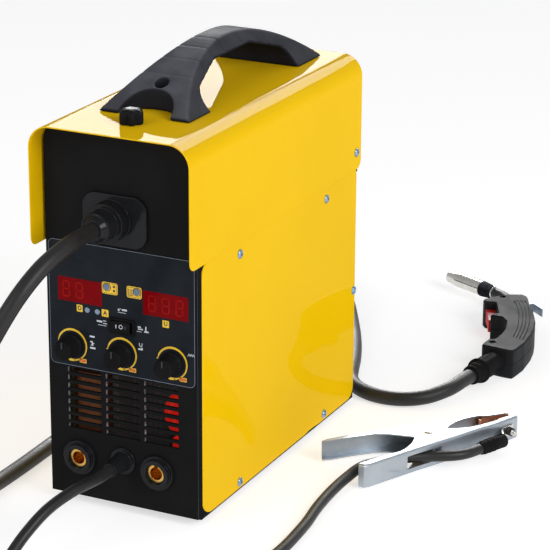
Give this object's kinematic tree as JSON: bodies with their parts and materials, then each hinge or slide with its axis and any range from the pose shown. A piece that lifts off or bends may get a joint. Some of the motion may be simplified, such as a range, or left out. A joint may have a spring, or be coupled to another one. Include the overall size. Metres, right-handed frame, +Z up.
{
  "type": "mig welding machine",
  "caption": "Portable MIG welding machine in a sheet-steel case with a tilting hood, carrying handle, dials, wire feeder, torch on its lead and earth clamp on its lead.",
  "frame": {"origin": "on the floor under the centre of the case", "axes": "+Z up, the front panel faces -Y, +X to the right as seen from the front"},
  "size_m": [0.5455, 1.0442, 0.4358],
  "materials": {
    "black_steel": "satin",
    "yellow_steel": "gloss",
    "black_plastic": "matt",
    "rubber": "matt",
    "zinc": "satin",
    "galvanised": "satin",
    "label": "satin",
    "red_window": "gloss",
    "grey_button": "satin",
    "grey_lens": "gloss",
    "circuit_board": "satin",
    "brass": "satin",
    "iron": "matt",
    "copper": "satin",
    "red_choke": "satin",
    "aluminium": "satin",
    "wound_wire": "satin",
    "feeder_plastic": "matt",
    "motor": "satin",
    "roll_steel": "satin",
    "torch_plastic": "matt",
    "red_trigger": "satin",
    "neck_sleeve": "satin",
    "nozzle": "satin",
    "lead_rubber": "matt"
  },
  "bodies": {
    "machine": {"base_tray": "black_steel", "rubber_feet": "rubber", "front_panel": "black_plastic", "rear_panel": "black_steel", "side_panel_left": "yellow_steel", "side_panel_right": "yellow_steel", "case_screws": "zinc", "upper_deck": "galvanised", "control_label": "label", "display_windows": "red_window", "status_lights": "grey_lens", "mode_switch_body": "black_plastic", "control_board": "circuit_board", "socket_insulators": "black_plastic", "socket_inserts": "brass", "torch_gland": "rubber", "earth_gland": "rubber", "fan_frame": "black_plastic", "mains_gland": "black_plastic", "gas_valve": "brass", "transformer_core": "iron", "transformer_winding": "copper", "choke": "red_choke", "power_module": "aluminium", "spool_bracket": "galvanised", "feed_plate": "feeder_plastic", "gear_motor": "motor", "torch_handle_lower": "torch_plastic", "torch_handle_upper": "torch_plastic", "torch_neck": "neck_sleeve", "torch_nozzle": "nozzle", "torch_contact_tip": "copper", "torch_hook": "zinc", "torch_boot": "rubber", "clamp_lower_lever": "zinc", "clamp_pivot": "zinc", "clamp_jaw_lower": "copper", "torch_lead": "lead_rubber", "torch_lead_coil": "lead_rubber", "earth_lead": "lead_rubber", "earth_lead_coil": "lead_rubber"},
    "hood": {"hood": "yellow_steel", "handle": "black_plastic", "handle_screws": "zinc"},
    "lock_knob": {"lock_knob": "black_plastic"},
    "left_button": {"push_button_left": "grey_button"},
    "right_button": {"push_button_right": "grey_button"},
    "mode_rocker": {"mode_rocker": "black_plastic"},
    "left_dial": {"dial_left": "black_plastic"},
    "centre_dial": {"dial_centre": "black_plastic"},
    "right_dial": {"dial_right": "black_plastic"},
    "fan_rotor": {"fan_rotor": "black_plastic"},
    "wire_spool": {"wire_spool": "wound_wire"},
    "drive_roll": {"drive_roll": "roll_steel"},
    "pressure_arm": {"pressure_arm": "roll_steel"},
    "pressure_roll": {"pressure_roll": "roll_steel"},
    "tension_knob": {"tension_knob": "black_plastic"},
    "torch_trigger": {"torch_trigger": "red_trigger"},
    "clamp_upper": {"clamp_upper_lever": "zinc", "clamp_jaw_upper": "copper"}
  },
  "joints": [
    {"name": "hood_tilt", "type": "hinge", "parent": "machine", "child": "hood", "pos_m": [0, 0.167, 0.284], "axis": [-1, 0, 0], "range_deg": [0, 75]},
    {"name": "lock_knob_turn", "type": "hinge", "parent": "hood", "child": "lock_knob", "pos_m": [0, -0.1545, 0.385], "axis": [0, 0, 1], "continuous": true},
    {"name": "left_button_press", "type": "slide", "parent": "machine", "child": "left_button", "axis": [0, 1, 0], "range_m": [0, 0.001], "stiffness_N_per_m": 300, "springref_m": -0.001},
    {"name": "right_button_press", "type": "slide", "parent": "machine", "child": "right_button", "axis": [0, 1, 0], "range_m": [0, 0.001], "stiffness_N_per_m": 300, "springref_m": -0.001},
    {"name": "mode_rocker_tilt", "type": "hinge", "parent": "machine", "child": "mode_rocker", "pos_m": [0.0011, -0.178, 0.193], "axis": [0, 0, 1], "range_deg": [-10, 10]},
    {"name": "left_dial_turn", "type": "hinge", "parent": "machine", "child": "left_dial", "pos_m": [-0.0542, -0.19, 0.165], "axis": [0, -1, 0], "range_deg": [-150, 150]},
    {"name": "centre_dial_turn", "type": "hinge", "parent": "machine", "child": "centre_dial", "pos_m": [0, -0.19, 0.165], "axis": [0, -1, 0], "range_deg": [-150, 150]},
    {"name": "right_dial_turn", "type": "hinge", "parent": "machine", "child": "right_dial", "pos_m": [0.0542, -0.19, 0.165], "axis": [0, -1, 0], "range_deg": [-150, 150]},
    {"name": "fan_spin", "type": "hinge", "parent": "machine", "child": "fan_rotor", "pos_m": [0.018, 0.165, 0.0745], "axis": [0, 1, 0], "continuous": true},
    {"name": "spool_spin", "type": "hinge", "parent": "machine", "child": "wire_spool", "pos_m": [-0.007, 0.095, 0.3195], "axis": [1, 0, 0], "continuous": true},
    {"name": "drive_roll_spin", "type": "hinge", "parent": "machine", "child": "drive_roll", "pos_m": [-0.007, -0.06, 0.2829], "axis": [1, 0, 0], "continuous": true},
    {"name": "pressure_arm_lift", "type": "hinge", "parent": "machine", "child": "pressure_arm", "pos_m": [-0.007, -0.034, 0.31555], "axis": [-1, 0, 0], "range_deg": [0, 45]},
    {"name": "pressure_roll_spin", "type": "hinge", "parent": "pressure_arm", "child": "pressure_roll", "pos_m": [-0.007, -0.06, 0.30955], "axis": [1, 0, 0], "continuous": true},
    {"name": "tension_knob_turn", "type": "hinge", "parent": "pressure_arm", "child": "tension_knob", "pos_m": [-0.023, -0.088, 0.32955], "axis": [0, 0, 1], "continuous": true},
    {"name": "torch_trigger_squeeze", "type": "hinge", "parent": "machine", "child": "torch_trigger", "pos_m": [0.14141, 0.45817, 0.017], "axis": [0, 0, 1], "range_deg": [0, 6], "stiffness_Nm_per_rad": 0.6, "springref_deg": -5.73},
    {"name": "clamp_open", "type": "hinge", "parent": "machine", "child": "clamp_upper", "pos_m": [0.21, 0.08, 0.0142], "axis": [0, 0, 1], "range_deg": [0, 22], "stiffness_Nm_per_rad": 1.5, "springref_deg": -17.19}
  ],
  "couplings": [
    {"joint": "drive_roll_spin", "follows": "spool_spin", "ratio": -2.7333},
    {"joint": "pressure_roll_spin", "follows": "spool_spin", "ratio": 3.7273}
  ]
}
